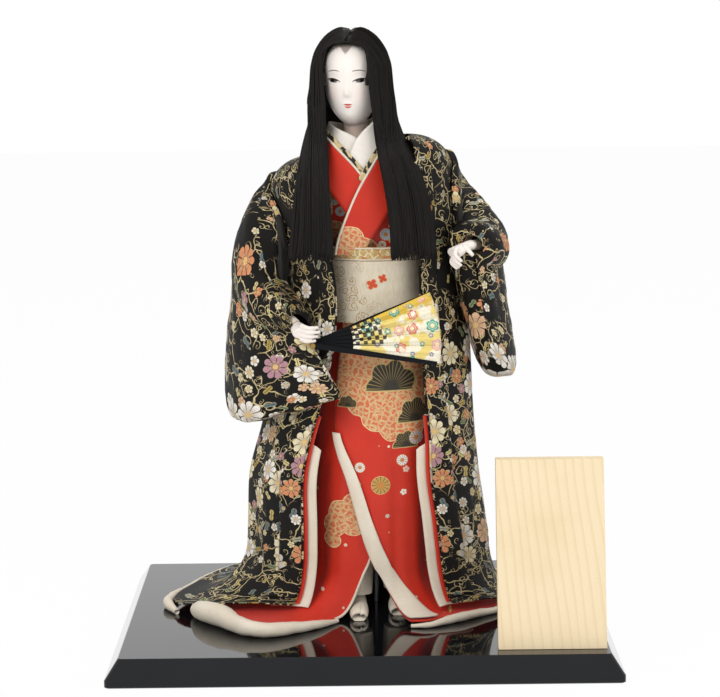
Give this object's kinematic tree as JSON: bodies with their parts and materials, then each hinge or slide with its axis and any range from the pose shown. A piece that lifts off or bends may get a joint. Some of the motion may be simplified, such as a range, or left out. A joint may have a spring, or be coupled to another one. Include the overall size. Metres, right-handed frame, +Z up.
{
  "type": "oyama doll",
  "caption": "Standing costumed oyama doll in a red kimono and open black brocade robe, holding a folding fan, on a bevelled black lacquer plinth with a lift-off wooden plate.",
  "frame": {"origin": "centre of the plinth underside, on the surface it stands on", "axes": "+Z up, the doll faces -Y, +X to the doll's left (the right of someone facing it)"},
  "size_m": [0.39, 0.2901, 0.4828],
  "materials": {
    "lacquer": "black gloss lacquer on a wooden board",
    "pale_wood": "bare pale softwood, sanded",
    "peg_wood": "bare dowel",
    "steel": "plain drawn rod",
    "body_core": "bound straw and paper core",
    "white_paint": "satin white shell paint on a carved composition core",
    "hair": "straight black silk hair, lightly glossed",
    "white_silk": "cream-white padded silk",
    "red_silk": "red silk with woven figures",
    "sash_silk": "cream and silver figured silk",
    "gold_brocade": "gold thread brocade",
    "black_brocade": "black brocade with gold scrolls and flowers",
    "fan_lacquer": "black lacquered slats",
    "fan_paper": "gold pleated paper",
    "brass": "domed rivet"
  },
  "bodies": {
    "stand": {"plinth": "lacquer", "support_rod": "steel", "support_nut": "steel", "torso": "body_core", "arm_right": "body_core", "arm_left": "body_core", "hand_right": "white_paint", "hand_left": "white_paint", "leg_right": "white_silk", "leg_left": "white_silk", "foot_right": "white_silk", "foot_left": "white_silk", "under_collar": "white_silk", "kimono_front_facing": "white_silk", "kimono_hem_roll_right": "white_silk", "kimono_hem_roll_left": "white_silk", "robe_facing_right": "white_silk", "robe_facing_left": "white_silk", "robe_hem_roll": "white_silk", "kimono_bodice": "red_silk", "kimono_sleeve_right": "red_silk", "kimono_sleeve_left": "red_silk", "kimono_collar": "red_silk", "kimono_right_panel": "red_silk", "kimono_left_panel": "red_silk", "robe_lining_right": "red_silk", "robe_lining_left": "red_silk", "sash": "sash_silk", "sash_knot": "sash_silk", "sash_band": "gold_brocade", "robe_body": "black_brocade", "robe_collar_right": "black_brocade", "robe_collar_left": "black_brocade", "robe_sleeve_right": "black_brocade", "robe_sleeve_left": "black_brocade", "fan_guard_front": "fan_lacquer", "fan_rivet": "brass"},
    "head": {"head": "white_paint", "neck_peg": "peg_wood", "hair_cap": "hair", "hair_lock_right": "hair", "hair_lock_left": "hair", "hair_back": "hair"},
    "plate": {"name_plate": "pale_wood", "plate_strut": "pale_wood"},
    "fan_1": {"fan_stick_1": "fan_lacquer", "fan_leaf_1": "fan_paper"},
    "fan_2": {"fan_stick_2": "fan_lacquer", "fan_leaf_2": "fan_paper"},
    "fan_3": {"fan_stick_3": "fan_lacquer", "fan_leaf_3": "fan_paper"},
    "fan_4": {"fan_stick_4": "fan_lacquer", "fan_leaf_4": "fan_paper"},
    "fan_5": {"fan_guard_back": "fan_lacquer", "fan_leaf_5": "fan_paper"}
  },
  "joints": [
    {"name": "head_turn", "type": "hinge", "parent": "stand", "child": "head", "pos_m": [-0.002, 0.008, 0.382], "axis": [0, 0, 1], "range_deg": [-15, 15], "deforming": ["hair_lock_right", "hair_lock_left", "hair_back"]},
    {"name": "plate_lift", "type": "slide", "parent": "stand", "child": "plate", "axis": [0, 0, 1], "range_m": [0, 0.1]},
    {"name": "fan_fold_1", "type": "hinge", "parent": "stand", "child": "fan_1", "pos_m": [-0.037, -0.062, 0.244], "axis": [0, 1, 0], "range_deg": [0, 5.5], "deforming": ["fan_leaf_1"]},
    {"name": "fan_fold_2", "type": "hinge", "parent": "fan_1", "child": "fan_2", "pos_m": [-0.037, -0.062, 0.244], "axis": [0, 1, 0], "range_deg": [0, 5.5], "deforming": ["fan_leaf_2"]},
    {"name": "fan_fold_3", "type": "hinge", "parent": "fan_2", "child": "fan_3", "pos_m": [-0.037, -0.062, 0.244], "axis": [0, 1, 0], "range_deg": [0, 5.5], "deforming": ["fan_leaf_3"]},
    {"name": "fan_fold_4", "type": "hinge", "parent": "fan_3", "child": "fan_4", "pos_m": [-0.037, -0.062, 0.244], "axis": [0, 1, 0], "range_deg": [0, 5.5], "deforming": ["fan_leaf_4"]},
    {"name": "fan_fold_5", "type": "hinge", "parent": "fan_4", "child": "fan_5", "pos_m": [-0.037, -0.062, 0.244], "axis": [0, 1, 0], "range_deg": [0, 5.5], "deforming": ["fan_leaf_5"]}
  ],
  "couplings": [
    {"joint": "fan_fold_2", "follows": "fan_fold_1", "ratio": 1},
    {"joint": "fan_fold_3", "follows": "fan_fold_1", "ratio": 1},
    {"joint": "fan_fold_4", "follows": "fan_fold_1", "ratio": 1},
    {"joint": "fan_fold_5", "follows": "fan_fold_1", "ratio": 1}
  ]
}
